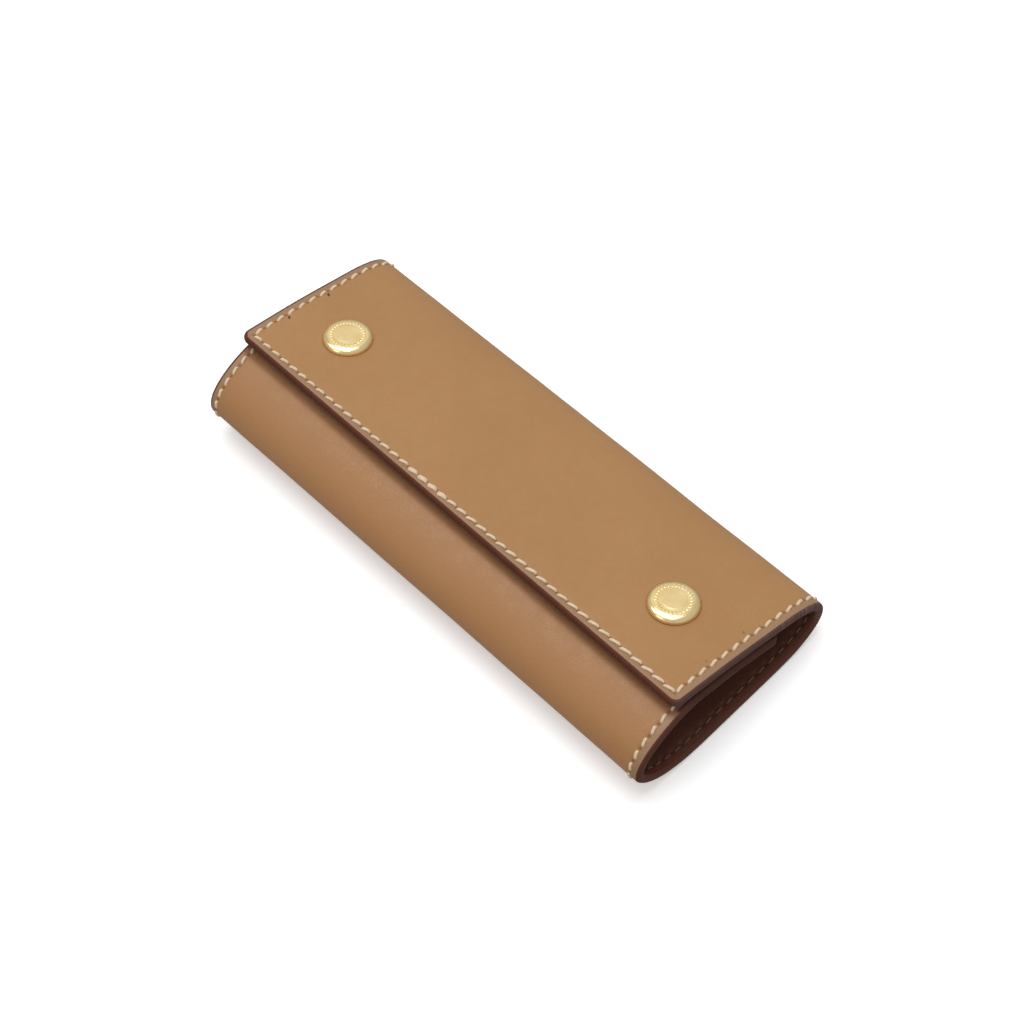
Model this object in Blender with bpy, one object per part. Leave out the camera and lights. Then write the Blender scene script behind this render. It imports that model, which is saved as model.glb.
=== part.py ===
"""Tri-fold leather key case, closed, lying on its back panel.

A strip of leather with a dark lining is folded in three: the back panel lies on the ground, the
inner flap comes up round the front fold and the top flap comes up round the spine and over it.
Two press studs hold the top flap to the inner flap. A bar on the back panel holds six swivelling
key hooks, each with a sprung gate.

The frame's origin is the centre of the underside: +X runs along the case, +Y towards the spine
and +Z up. Driving dimensions are in millimetres, and every mesh is scaled to metres as it is made.
"""

import math

import bmesh
import bpy
from mathutils import Matrix, Vector

MM = 0.001

# The leather strip
CASE_LENGTH = 121.0
LEATHER = 1.0
GLUE_LINE = 0.15
LINING = 0.75
WALL = LEATHER + GLUE_LINE + LINING
CORNER_RADIUS = 1.8
FOLD_GAP = 0.3
STATION_STEP = 1.5
CURVE_STEPS = 12

# The folded strip's outer face in the (Y, Z) plane, from the top flap's front edge, round the
# spine, along the underside and round the front fold to the inner flap's hidden edge
SPINE = (23.75, 6.3)
FRONT_FOLD = (-23.7, 7.8)
TOP_FLAP_LINE = [(-11.85, 20.0), (1.0, 17.0), (10.0, 14.5), (18.4, 11.9), (21.85, 10.0), (23.3, 8.3)]
BACK_PANEL_LINE = [(23.1, 4.4), (20.8, 2.3), (16.0, 0.5), (10.3, 0.0), (7.0, 0.0), (-5.0, 0.0), (-8.2, 0.0),
                   (-13.9, 0.5), (-19.0, 2.2), (-22.3, 4.9)]
INNER_FLAP_LINE = [(-22.9, 10.6), (-20.6, 12.9), (-16.5, 14.95), (-11.3, 16.25), (-7.0, 16.3), (-3.0, 15.55),
                   (1.9, 14.5), (9.3, 12.35), (12.8, 11.2)]

# Thread, sewn this far in from every edge
STITCH_INSET = 2.1
THREAD_WIDTH = 0.7
THREAD_LIFT = 0.04
THREAD_HEIGHT = 0.2
THREAD_FOLD_GAP = 2.0

# Press studs, sizes along and round each one's axis, with 0 at the top flap's outer face
STUD_SPACING = 89.6
STUD_SETBACK = 15.0
CAP_RADIUS = 4.9
CAP_HEIGHT = 1.55
CAP_CLEARANCE = 0.15
CAP_RING = 2.1
CAP_RELIEF = 0.08
POST_RADIUS = 1.6
SOCKET_RADIUS = 4.1
SOCKET_TOP = -(LEATHER + 0.2)
SOCKET_PLATE = 0.35
SOCKET_DEPTH = 0.9
SOCKET_LIP = 0.15
SOCKET_MOUTH = 2.95
SPRING_RING = 3.05
SPRING_WIRE = 0.15
SPRING_SPLIT = 40.0
NIPPLE_RADIUS = 1.9
NIPPLE_HEIGHT = 0.5
FLANGE_RADIUS = 4.0
FLANGE = 0.4
FIT = 0.3

# Key-hook bar: a channel open downwards, with an ear at each end
HOOK_COUNT = 6
HOOK_PITCH = 12.0
BAR_FRONT = 6.0
BAR_DEPTH = 7.0
BAR_BOTTOM = WALL + 0.5
BAR_TOP = 8.3
BAR_SHEET = 0.6
BAR_LENGTH = 70.0
EAR_LENGTH = 7.5
RIVET_X = BAR_LENGTH / 2 + 4.0
RIVET_SHANK = 1.1
RIVET_HEAD = 2.2
RIVET_FOOT = 0.3
WASHER_RADIUS = 2.3
WASHER_HEIGHT = 0.5

# Key hook, from the swivel axis at the bar's front face and forwards along -Y
HOOK_AXIS_Z = 5.4
SWIVEL_RADIUS = 0.9
SWIVEL_HEAD = 1.9
COLLAR_RADIUS = 1.6
YOKE_HALF_WIDTH = 2.9
YOKE_HALF_HEIGHT = 1.1
YOKE_BACK = -0.8
YOKE_FRONT = -3.5
WIRE_RADIUS = 0.7
WIRE_SIDE = 2.3
WIRE_REACH = -13.5
NOSE_Y = -11.5
GATE_X = 2.2
GATE_Y = -2.6
GATE_HALF_HEIGHT = 0.4
GATE_HALF_WIDTH = 0.5
GATE_SLOT_GAP = 0.2
KNUCKLE_RADIUS = 0.95
PIN_RADIUS = 0.35
PIN_HOLE = 0.5

TAN = (0.456, 0.246, 0.107)
CHOCOLATE = (0.070, 0.024, 0.013)
CREAM = (0.82, 0.68, 0.50)
GOLD = (0.86, 0.66, 0.30)
STEEL = (0.62, 0.60, 0.57)


def clear_scene():
    for existing in list(bpy.data.objects):
        bpy.data.objects.remove(existing, do_unlink=True)


def material(name, colour, roughness, metallic=0.0):
    made = bpy.data.materials.new(name)
    made.use_nodes = True
    shader = made.node_tree.nodes["Principled BSDF"]
    shader.inputs["Base Color"].default_value = (*colour, 1.0)
    shader.inputs["Roughness"].default_value = roughness
    shader.inputs["Metallic"].default_value = metallic
    return made


def link_object(name, mesh, look=None):
    made = bpy.data.objects.new(name, mesh)
    bpy.context.scene.collection.objects.link(made)
    if look:
        mesh.materials.clear()
        mesh.materials.append(look)
    return made


def mesh_from(bm, name):
    """The bmesh, drawn in millimetres, as a mesh in metres with its faces pointing out."""
    bmesh.ops.recalc_face_normals(bm, faces=bm.faces)
    bmesh.ops.scale(bm, vec=(MM, MM, MM), verts=bm.verts)
    mesh = bpy.data.meshes.new(name)
    bm.to_mesh(mesh)
    bm.free()
    return mesh


def mesh_of(name, points, faces):
    bm = bmesh.new()
    corners = [bm.verts.new(p) for p in points]
    for face in faces:
        bm.faces.new([corners[i] for i in face])
    return mesh_from(bm, name)


def bar_faces(stations_made, sides):
    """Faces of a bar drawn as one ring of corners at each station, closed at both ends."""
    faces = [tuple(range(sides))]
    for station in range(stations_made - 1):
        a, b = sides * station, sides * (station + 1)
        faces += [(a + k, a + (k + 1) % sides, b + (k + 1) % sides, b + k) for k in range(sides)]
    last = sides * (stations_made - 1)
    faces.append(tuple(last + k for k in reversed(range(sides))))
    return faces


def place(obj, where, rotation=(0.0, 0.0, 0.0), parent=None):
    """Put the object's origin at a point given in millimetres in the case's frame."""
    at = Vector(where) * MM
    if parent:
        obj.parent = parent
        at -= parent.location
    obj.location = at
    obj.rotation_euler = rotation


def axis_empty(name, where):
    empty = bpy.data.objects.new(name, None)
    bpy.context.scene.collection.objects.link(empty)
    place(empty, where)
    return empty


def guide(mesh, where=(0.0, 0.0, 0.0), rotation=(0.0, 0.0, 0.0)):
    """An object that only cuts or joins another, and isn't a piece of the case."""
    made = link_object("guide", mesh)
    made.hide_render = True
    made.display_type = "WIRE"
    place(made, where, rotation)
    return made


def combine(obj, other, operation):
    modifier = obj.modifiers.new(operation.title(), "BOOLEAN")
    modifier.operation = operation
    modifier.object = other
    modifier.solver = "EXACT"


def bake(obj, guides):
    """Replace the object's mesh by what its modifiers make of it, and drop the guides."""
    bpy.context.view_layer.update()
    seen = obj.evaluated_get(bpy.context.evaluated_depsgraph_get())
    obj.data = bpy.data.meshes.new_from_object(seen)
    obj.modifiers.clear()
    for used in guides:
        bpy.data.objects.remove(used, do_unlink=True)


# Outline


def smooth_line(points):
    """A curve through the points, as a dense row of (y, z) vectors that never dips below the ground."""
    line = [Vector(p) for p in points]
    line = [2 * line[0] - line[1], *line, 2 * line[-1] - line[-2]]
    dense = []
    for a, b, c, d in zip(line, line[1:], line[2:], line[3:]):
        t1 = (b - a).length ** 0.5
        t2 = t1 + (c - b).length ** 0.5
        t3 = t2 + (d - c).length ** 0.5
        for step in range(CURVE_STEPS):
            t = t1 + (t2 - t1) * step / CURVE_STEPS
            ab = a.lerp(b, t / t1)
            bc = b.lerp(c, (t - t1) / (t2 - t1))
            cd = c.lerp(d, (t - t2) / (t3 - t2))
            abc = ab.lerp(bc, t / t2)
            bcd = bc.lerp(cd, (t - t1) / (t3 - t1))
            dense.append(abc.lerp(bcd, (t - t1) / (t2 - t1)))
    dense.append(line[-2])
    return [Vector((p.x, max(p.y, 0.0))) for p in dense]


def lengths_along(line):
    total = [0.0]
    for a, b in zip(line, line[1:]):
        total.append(total[-1] + (b - a).length)
    return total


OUTLINE = smooth_line([*TOP_FLAP_LINE, SPINE, *BACK_PANEL_LINE, FRONT_FOLD, *INNER_FLAP_LINE])
DISTANCES = lengths_along(OUTLINE)


def distance_to(point):
    """How far along the outline its nearest vertex to the point is."""
    target = Vector(point)
    nearest = min(range(len(OUTLINE)), key=lambda i: (OUTLINE[i] - target).length)
    return DISTANCES[nearest]


SPINE_AT = distance_to(SPINE)
FRONT_FOLD_AT = distance_to(FRONT_FOLD)
END_AT = DISTANCES[-1]


def face_point(along, depth):
    """The (y, z) point this far along the outline and this deep under the outer face."""
    after = next((i for i, d in enumerate(DISTANCES) if d > along), len(DISTANCES) - 1)
    a, b = OUTLINE[after - 1], OUTLINE[after]
    here = a.lerp(b, (along - DISTANCES[after - 1]) / (DISTANCES[after] - DISTANCES[after - 1]))
    before, beyond = OUTLINE[max(after - 3, 0)], OUTLINE[min(after + 2, len(OUTLINE) - 1)]
    tangent = (beyond - before).normalized()
    outward = Vector((-tangent.y, tangent.x))
    return here - outward * depth, outward


# Sheets


def stations(start, end, step=STATION_STEP):
    count = max(2, round(abs(end - start) / step))
    return [start + (end - start) * i / count for i in range(count + 1)]


def corner_stations(edge, towards):
    """Where the rounded corner's outline is read, from the edge inwards."""
    angles = [math.radians(a) for a in (0, 30, 60, 90)]
    return [edge + towards * CORNER_RADIUS * (1 - math.cos(a)) for a in angles]


def half_length(along):
    """Half the strip's length in X: the two free edges have rounded corners."""
    from_edge = min(along, END_AT - along)
    if from_edge >= CORNER_RADIUS:
        return CASE_LENGTH / 2
    short = CORNER_RADIUS - math.sqrt(CORNER_RADIUS ** 2 - (CORNER_RADIUS - from_edge) ** 2)
    return CASE_LENGTH / 2 - short


def sheet_mesh(name, rows, outer_depth, inner_depth, origin):
    """A bent sheet between two depths, one ring of four corners at each station."""
    points = []
    for along in rows:
        half = half_length(along)
        for depth, side in ((outer_depth, -1), (outer_depth, 1), (inner_depth, 1), (inner_depth, -1)):
            at, _ = face_point(along, depth)
            points.append((side * half, at.x - origin[0], at.y - origin[1]))
    return mesh_of(name, points, bar_faces(len(rows), 4))


def panel_rows(panel):
    """Stations of one of the three panels, short of the next one by half the fold gap."""
    half_gap = FOLD_GAP / 2
    if panel == "top":
        return corner_stations(0.0, 1) + stations(CORNER_RADIUS, SPINE_AT - half_gap)[1:]
    if panel == "back":
        return stations(SPINE_AT + half_gap, FRONT_FOLD_AT - half_gap)
    inner = stations(FRONT_FOLD_AT + half_gap, END_AT - CORNER_RADIUS)[:-1]
    return inner + corner_stations(END_AT, -1)[::-1]


def ply(name, panel, look, parent, lining):
    """One ply of a panel: its outer leather, or its lining."""
    origins = {"top": SPINE, "back": (0.0, 0.0), "inner": FRONT_FOLD}
    origin = origins[panel]
    depths = (LEATHER + GLUE_LINE, WALL) if lining else (0.0, LEATHER)
    made = link_object(name, sheet_mesh(name, panel_rows(panel), *depths, origin), look)
    place(made, (0.0, *origin), parent=parent)
    return made


# Thread


def thread_route(free_edge, fold):
    """Along one end of the flap to its free edge, across that, and back along the other end."""
    side = CASE_LENGTH / 2 - STITCH_INSET
    rows = stations(free_edge, fold)
    return [(-side, s) for s in reversed(rows)] + [(side, s) for s in rows]


def thread_mesh(name, route, surface, origin):
    """A flat strip along a route of (x, along) points, lying on the outer or the inner face."""
    level, raised = surface
    points = []
    for i, (x, along) in enumerate(route):
        before, after = Vector(route[max(i - 1, 0)]), Vector(route[min(i + 1, len(route) - 1)])
        here = Vector((x, along))
        steps = [(b - a).normalized() for a, b in ((before, here), (here, after)) if (b - a).length > 0]
        across = sum((Vector((-s.y, s.x)) for s in steps), Vector((0.0, 0.0))).normalized()
        width = THREAD_WIDTH / 2 / across.dot(Vector((-steps[0].y, steps[0].x)))
        for depth, side in ((level, 1), (level, -1), (raised, -1), (raised, 1)):
            flat = here + across * width * side
            at, _ = face_point(flat.y, depth)
            points.append((flat.x, at.x - origin[0], at.y - origin[1]))
    return mesh_of(name, points, bar_faces(len(route), 4))


def thread(name, route, look, inside=False, origin=(0.0, 0.0), parent=None):
    face = WALL if inside else 0.0
    away = 1 if inside else -1
    surface = (face + away * THREAD_LIFT, face + away * (THREAD_LIFT + THREAD_HEIGHT))
    made = link_object(name, thread_mesh(name, route, surface, origin), look)
    place(made, (0.0, *origin), parent=parent)


def build_threads(look, axes):
    """Each flap's thread stops short of its fold, so that it clears the back panel as it opens."""
    top_route = thread_route(STITCH_INSET, SPINE_AT - THREAD_FOLD_GAP)
    thread("top_flap_thread", top_route, look, origin=SPINE, parent=axes["top"])
    inner_route = thread_route(END_AT - STITCH_INSET, FRONT_FOLD_AT + THREAD_FOLD_GAP)
    thread("inner_flap_thread", inner_route, look, origin=FRONT_FOLD, parent=axes["inner"])
    for side, name in ((-1, "back_thread_left"), (1, "back_thread_right")):
        x = side * (CASE_LENGTH / 2 - STITCH_INSET)
        rows = stations(SPINE_AT + FOLD_GAP / 2, FRONT_FOLD_AT - FOLD_GAP / 2)
        thread(name, [(x, s) for s in rows], look, inside=True)


# Turned and swept pieces


def turned_mesh(name, profile, segments=24):
    """A solid of revolution about Z. The profile runs from the axis to the axis, as (radius, z)."""
    bm = bmesh.new()
    row = [bm.verts.new((r, 0.0, z)) for r, z in profile]
    edges = [bm.edges.new(pair) for pair in zip(row, row[1:])]
    if profile[0][0] > 0:
        edges.append(bm.edges.new((row[-1], row[0])))
    bmesh.ops.spin(bm, geom=row + edges, cent=(0, 0, 0), axis=(0, 0, 1), dvec=(0, 0, 0),
                   angle=math.tau, steps=segments, use_merge=True)
    bmesh.ops.remove_doubles(bm, verts=bm.verts, dist=1e-5)
    mesh = mesh_from(bm, name)
    mesh.shade_smooth()
    mesh.set_sharp_from_angle(angle=math.radians(35))
    return mesh


def cylinder_mesh(radius, low, high, segments=24):
    return turned_mesh("cylinder", [(0, high), (radius, high), (radius, low), (0, low)], segments)


def box_mesh(low, high, name="box"):
    bm = bmesh.new()
    size = Vector(high) - Vector(low)
    middle = (Vector(high) + Vector(low)) / 2
    bmesh.ops.create_cube(bm, size=1.0, matrix=Matrix.Translation(middle) @ Matrix.Diagonal((*size, 1.0)))
    return mesh_from(bm, name)


def wire_mesh(name, route, radius, sides=8):
    """A round wire along a route in the XY plane, with flat ends."""
    points = []
    for i, here in enumerate(route):
        before, after = route[max(i - 1, 0)], route[min(i + 1, len(route) - 1)]
        along = (Vector(after) - Vector(before)).normalized()
        across = Vector((-along.y, along.x))
        for k in range(sides):
            turn = math.tau * k / sides
            flat = Vector(here) + across * radius * math.cos(turn)
            points.append((flat.x, flat.y, radius * math.sin(turn)))
    return mesh_of(name, points, bar_faces(len(route), sides))


# Press studs


def depth_of_inner_flap(at, outward):
    """How far down the studs' axis the inner flap's outer face lies."""
    along = Vector((outward.y, -outward.x))
    flap = [p for p, d in zip(OUTLINE, DISTANCES) if d > FRONT_FOLD_AT]
    nearest = min(flap, key=lambda p: abs((p - at).dot(along)))
    return (at - nearest).dot(outward)


def cap_profile():
    """Low dome with a raised ring round its middle, and the post that holds it through the leather."""
    top = CAP_HEIGHT + CAP_CLEARANCE
    edge = CAP_RADIUS
    foot = SOCKET_TOP - SOCKET_PLATE
    dome = [(0, top - CAP_RELIEF), (CAP_RING - 0.15, top - CAP_RELIEF), (CAP_RING, top),
            (CAP_RING + 0.2, top), (CAP_RING + 0.4, top - CAP_RELIEF), (edge - 1.0, top - 0.17),
            (edge - 0.55, top - 0.3), (edge - 0.15, top - 0.75), (edge, top - 1.2)]
    return dome + [(edge - 0.15, CAP_CLEARANCE), (POST_RADIUS, CAP_CLEARANCE), (POST_RADIUS, foot), (0, foot)]


def socket_profile():
    """A ring plate round the post, with a wall and an inward lip that keeps the spring in."""
    top = SOCKET_TOP
    under = top - SOCKET_PLATE
    bottom = top - SOCKET_DEPTH
    lip = bottom + SOCKET_LIP
    groove = SOCKET_RADIUS - 0.4
    return [(POST_RADIUS + FIT, top), (SOCKET_RADIUS, top), (SOCKET_RADIUS, bottom), (SOCKET_MOUTH, bottom),
            (SOCKET_MOUTH, lip), (groove, lip), (groove, under), (POST_RADIUS + FIT, under)]


def spring_mesh(name):
    """A split ring of wire, in the socket's groove."""
    ring = SPRING_RING + 2 * SPRING_WIRE
    turn = [math.radians(a) for a in range(int(SPRING_SPLIT / 2), int(361 - SPRING_SPLIT / 2), 16)]
    return wire_mesh(name, [(ring * math.cos(a), ring * math.sin(a)) for a in turn], SPRING_WIRE, sides=6)


def stud_profile(surface):
    """A flange sunk level with the inner flap's leather, and the nipple that enters the socket."""
    top = surface + NIPPLE_HEIGHT
    under = surface - FLANGE
    bore = POST_RADIUS - 0.5
    return [(bore, top - 0.1), (NIPPLE_RADIUS - 0.3, top), (NIPPLE_RADIUS, top - 0.2),
            (NIPPLE_RADIUS - 0.15, surface), (FLANGE_RADIUS, surface), (FLANGE_RADIUS, under), (bore, under)]


def eyelet_profile(surface):
    """The post that holds the stud: a head under the lining, and a shank up into the stud's bore."""
    radius = POST_RADIUS - 0.5 - FIT
    head_top = surface - WALL - 0.1
    head = RIVET_HEAD
    return [(0, surface + 0.2), (radius, surface + 0.2), (radius, head_top), (head, head_top),
            (head, head_top - 0.2), (head - 0.6, head_top - 0.45), (0, head_top - 0.5)]


def stud_holes(surface):
    """The plies' holes for each stud: the ply, the radius, and the top and bottom along the axis."""
    top_seam = -(LEATHER + GLUE_LINE / 2)
    inner_seam = surface + top_seam
    return [("top_outer", POST_RADIUS + FIT, 1.0, top_seam),
            ("top_lining", SOCKET_RADIUS + FIT, top_seam, -WALL - FIT),
            ("inner_outer", FLANGE_RADIUS + FIT, surface + 1.0, inner_seam),
            ("inner_lining", POST_RADIUS, inner_seam, surface - WALL - 1.0)]


def build_studs(looks, plies, axes):
    at, outward = face_point(STUD_SETBACK, 0.0)
    tilt = (-math.atan2(outward.x, outward.y), 0.0, 0.0)
    surface = -depth_of_inner_flap(at, outward)
    pieces = [("cap", cap_profile(), "top", 32), ("socket", socket_profile(), "top", 24),
              ("stud", stud_profile(surface), "inner", 24), ("eyelet", eyelet_profile(surface), "inner", 16)]
    spring_level = SOCKET_TOP - (SOCKET_PLATE + SOCKET_DEPTH - SOCKET_LIP) / 2
    for side, away in (("left", -1), ("right", 1)):
        seat = Vector((away * STUD_SPACING / 2, at.x, at.y))
        for kind, profile, body, segments in pieces:
            name = f"{side}_snap_{kind}"
            made = link_object(name, turned_mesh(name, profile, segments), looks["gold"])
            place(made, seat, tilt, axes[body])
        name = f"{side}_snap_spring"
        spring = link_object(name, spring_mesh(name), looks["steel"])
        place(spring, seat + Vector((0.0, *outward)) * spring_level, tilt, axes["top"])
        for target, radius, high, low in stud_holes(surface):
            combine(plies[target], guide(cylinder_mesh(radius, low, high), seat, tilt), "DIFFERENCE")


# Key-hook bar


def hook_places():
    first = -HOOK_PITCH * (HOOK_COUNT - 1) / 2
    return [first + HOOK_PITCH * i for i in range(HOOK_COUNT)]


def build_bar(look):
    half = BAR_LENGTH / 2
    back = BAR_FRONT + BAR_DEPTH
    shell = link_object("hook_bar", box_mesh((-half, BAR_FRONT, BAR_BOTTOM), (half, back, BAR_TOP)), look)
    hollow_low = (-half - 1, BAR_FRONT + BAR_SHEET, BAR_BOTTOM - 1)
    hollow = guide(box_mesh(hollow_low, (half + 1, back - BAR_SHEET, BAR_TOP - BAR_SHEET)))
    combine(shell, hollow, "DIFFERENCE")
    guides = [hollow]
    for side in (-1, 1):
        inner, outer = side * (half - BAR_SHEET), side * (half + EAR_LENGTH)
        ear = box_mesh((min(inner, outer), BAR_FRONT + 0.05, BAR_BOTTOM + 0.01),
                       (max(inner, outer), back - 0.05, BAR_BOTTOM + BAR_SHEET))
        guides.append(guide(ear))
        combine(shell, guides[-1], "UNION")
        shaft = cylinder_mesh(RIVET_SHANK + FIT, BAR_BOTTOM - 1, BAR_BOTTOM + 2, 20)
        guides.append(guide(shaft, (side * RIVET_X, BAR_FRONT + BAR_DEPTH / 2, 0.0)))
        combine(shell, guides[-1], "DIFFERENCE")
    for x in hook_places():
        hole = cylinder_mesh(SWIVEL_RADIUS + FIT, -1.0, 1.0, 20)
        guides.append(guide(hole, (x, BAR_FRONT, HOOK_AXIS_Z), (math.pi / 2, 0.0, 0.0)))
        combine(shell, guides[-1], "DIFFERENCE")
    bake(shell, guides)


def build_rivets(looks, plies):
    """Each rivet goes through the bar's ear, the lining and the leather, to a washer sunk in the back."""
    y = BAR_FRONT + BAR_DEPTH / 2
    foot, washer_top = RIVET_FOOT, RIVET_FOOT + WASHER_HEIGHT
    ear_top = BAR_BOTTOM + BAR_SHEET + 0.1
    head, shank = RIVET_HEAD, RIVET_SHANK
    rivet = [(0, ear_top + 0.8), (head - 0.8, ear_top + 0.65), (head, ear_top + 0.15), (head, ear_top),
             (shank, ear_top), (shank, foot), (0, foot)]
    bore = RIVET_SHANK + 0.2
    washer = [(bore, washer_top), (WASHER_RADIUS, washer_top), (WASHER_RADIUS, foot), (bore, foot)]
    for side, x in (("left", -RIVET_X), ("right", RIVET_X)):
        for kind, profile in (("rivet", rivet), ("washer", washer)):
            name = f"{side}_bar_{kind}"
            made = link_object(name, turned_mesh(name, profile, 20), looks["gold"])
            place(made, (x, y, 0.0))
        seat = guide(cylinder_mesh(WASHER_RADIUS + FIT, -1.0, LEATHER + GLUE_LINE / 2), (x, y, 0.0))
        combine(plies["back_outer"], seat, "DIFFERENCE")
        passage = guide(cylinder_mesh(RIVET_SHANK + FIT, LEATHER + GLUE_LINE / 2, WALL + 1.0), (x, y, 0.0))
        combine(plies["back_lining"], passage, "DIFFERENCE")


# Key hooks


def hook_mesh():
    """Swivel shank with its captive head, yoke for the gate, and the bent wire."""
    shank = turned_mesh("shank", [(0, 1.7), (SWIVEL_HEAD, 1.7), (SWIVEL_HEAD, 0.95), (SWIVEL_RADIUS, 0.95),
                                  (SWIVEL_RADIUS, -0.3), (COLLAR_RADIUS, -0.3), (COLLAR_RADIUS, -1.2),
                                  (0, -1.2)], 16)
    shank.transform(Matrix.Rotation(-math.pi / 2, 4, "X"))
    hook = link_object("hook", shank)
    yoke = guide(box_mesh((-YOKE_HALF_WIDTH, YOKE_FRONT, -YOKE_HALF_HEIGHT),
                          (YOKE_HALF_WIDTH, YOKE_BACK, YOKE_HALF_HEIGHT)))
    slot_half = GATE_HALF_HEIGHT + GATE_SLOT_GAP
    slot = guide(box_mesh((GATE_X - KNUCKLE_RADIUS - 0.25, YOKE_FRONT - 1, -slot_half),
                          (YOKE_HALF_WIDTH + 1, GATE_Y + KNUCKLE_RADIUS + 0.25, slot_half)))
    pin_hole = guide(cylinder_mesh(PIN_HOLE, -2.0, 2.0, 16), (GATE_X, GATE_Y, 0.0))
    bend = [math.radians(a) for a in range(180, 361, 30)]
    route = [(-WIRE_SIDE, YOKE_FRONT + 0.6), (-WIRE_SIDE, WIRE_REACH + 4.0)]
    route += [(WIRE_SIDE * math.cos(a), WIRE_REACH + WIRE_SIDE * math.sin(a)) for a in bend]
    route.append((WIRE_SIDE, NOSE_Y))
    wire = guide(wire_mesh("wire", route, WIRE_RADIUS))
    combine(hook, yoke, "UNION")
    combine(hook, slot, "DIFFERENCE")
    combine(hook, pin_hole, "DIFFERENCE")
    combine(hook, wire, "UNION")
    bake(hook, [yoke, slot, pin_hole, wire])
    mesh = hook.data
    bpy.data.objects.remove(hook, do_unlink=True)
    return mesh


def gate_mesh():
    """The sprung gate: a knuckle round the pin, and a strip that closes the hook up to its nose."""
    knuckle = cylinder_mesh(KNUCKLE_RADIUS, -GATE_HALF_HEIGHT, GATE_HALF_HEIGHT, 20)
    gate = link_object("gate", knuckle)
    inset = WIRE_SIDE - GATE_X
    strip = guide(box_mesh((inset - GATE_HALF_WIDTH, NOSE_Y + 0.3 - GATE_Y, -GATE_HALF_HEIGHT + 0.02),
                           (inset + GATE_HALF_WIDTH, -0.3, GATE_HALF_HEIGHT - 0.02)))
    bore = guide(cylinder_mesh(PIN_HOLE, -2.0, 2.0, 16))
    combine(gate, strip, "UNION")
    combine(gate, bore, "DIFFERENCE")
    bake(gate, [strip, bore])
    mesh = gate.data
    bpy.data.objects.remove(gate, do_unlink=True)
    return mesh


def build_hooks(looks):
    hook, gate = hook_mesh(), gate_mesh()
    pin = cylinder_mesh(PIN_RADIUS, -YOKE_HALF_HEIGHT, YOKE_HALF_HEIGHT, 12)
    for number, x in enumerate(hook_places(), start=1):
        body = link_object(f"key_hook_{number}", hook, looks["gold"])
        place(body, (x, BAR_FRONT, HOOK_AXIS_Z))
        pivot = (x + GATE_X, BAR_FRONT + GATE_Y, HOOK_AXIS_Z)
        for kind, mesh in (("hook_gate", gate), ("gate_pin", pin)):
            place(link_object(f"{kind}_{number}", mesh, looks["steel"]), pivot, parent=body)


def build():
    clear_scene()
    looks = {
        "tan": material("tan_leather", TAN, 0.55),
        "lining": material("dark_lining", CHOCOLATE, 0.6),
        "cream": material("waxed_thread", CREAM, 0.7),
        "gold": material("gold_plate", GOLD, 0.22, 1.0),
        "steel": material("spring_steel", STEEL, 0.3, 1.0),
    }
    axes = {
        "top": axis_empty("top_flap_axis", (0.0, *SPINE)),
        "inner": axis_empty("inner_flap_axis", (0.0, *FRONT_FOLD)),
        "back": None,
    }
    plies = {}
    for panel, label in (("back", "back_panel"), ("top", "top_flap"), ("inner", "inner_flap")):
        plies[f"{panel}_outer"] = ply(f"{label}_leather", panel, looks["tan"], axes[panel], lining=False)
        plies[f"{panel}_lining"] = ply(f"{label}_lining", panel, looks["lining"], axes[panel], lining=True)
    build_threads(looks["cream"], axes)
    build_studs(looks, plies, axes)
    build_bar(looks["gold"])
    build_rivets(looks, plies)
    build_hooks(looks)


build()
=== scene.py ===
"""Looks of the closed leather key case: the folded strip, its stitching, caps and metal parts.

The strip is described in plan by x, along the case, and s, the distance along the folded outline
from the top flap's front edge to the inner flap's hidden edge. Sizes are in millimetres until a
point is placed, and the frame's origin is the centre of the underside.
"""

import math
import random

import bmesh
import bpy
import numpy as np
from mathutils import Matrix, Vector, kdtree, noise


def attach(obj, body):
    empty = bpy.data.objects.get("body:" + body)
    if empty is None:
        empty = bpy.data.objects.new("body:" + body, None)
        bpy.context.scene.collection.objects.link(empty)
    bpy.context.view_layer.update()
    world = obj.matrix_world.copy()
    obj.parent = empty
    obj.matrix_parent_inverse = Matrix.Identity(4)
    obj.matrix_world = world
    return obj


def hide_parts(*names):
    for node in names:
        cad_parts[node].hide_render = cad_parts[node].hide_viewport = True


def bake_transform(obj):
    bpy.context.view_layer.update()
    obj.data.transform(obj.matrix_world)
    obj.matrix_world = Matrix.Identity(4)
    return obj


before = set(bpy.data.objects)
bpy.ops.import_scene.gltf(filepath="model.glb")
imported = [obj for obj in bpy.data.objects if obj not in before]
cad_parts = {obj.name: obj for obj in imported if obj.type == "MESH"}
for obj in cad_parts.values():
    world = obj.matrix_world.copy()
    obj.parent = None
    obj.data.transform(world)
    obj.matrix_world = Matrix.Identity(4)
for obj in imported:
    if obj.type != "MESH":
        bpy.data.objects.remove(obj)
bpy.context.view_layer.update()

MM = 0.001
UV_PER_MM = 0.01
random.seed(7)

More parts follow.
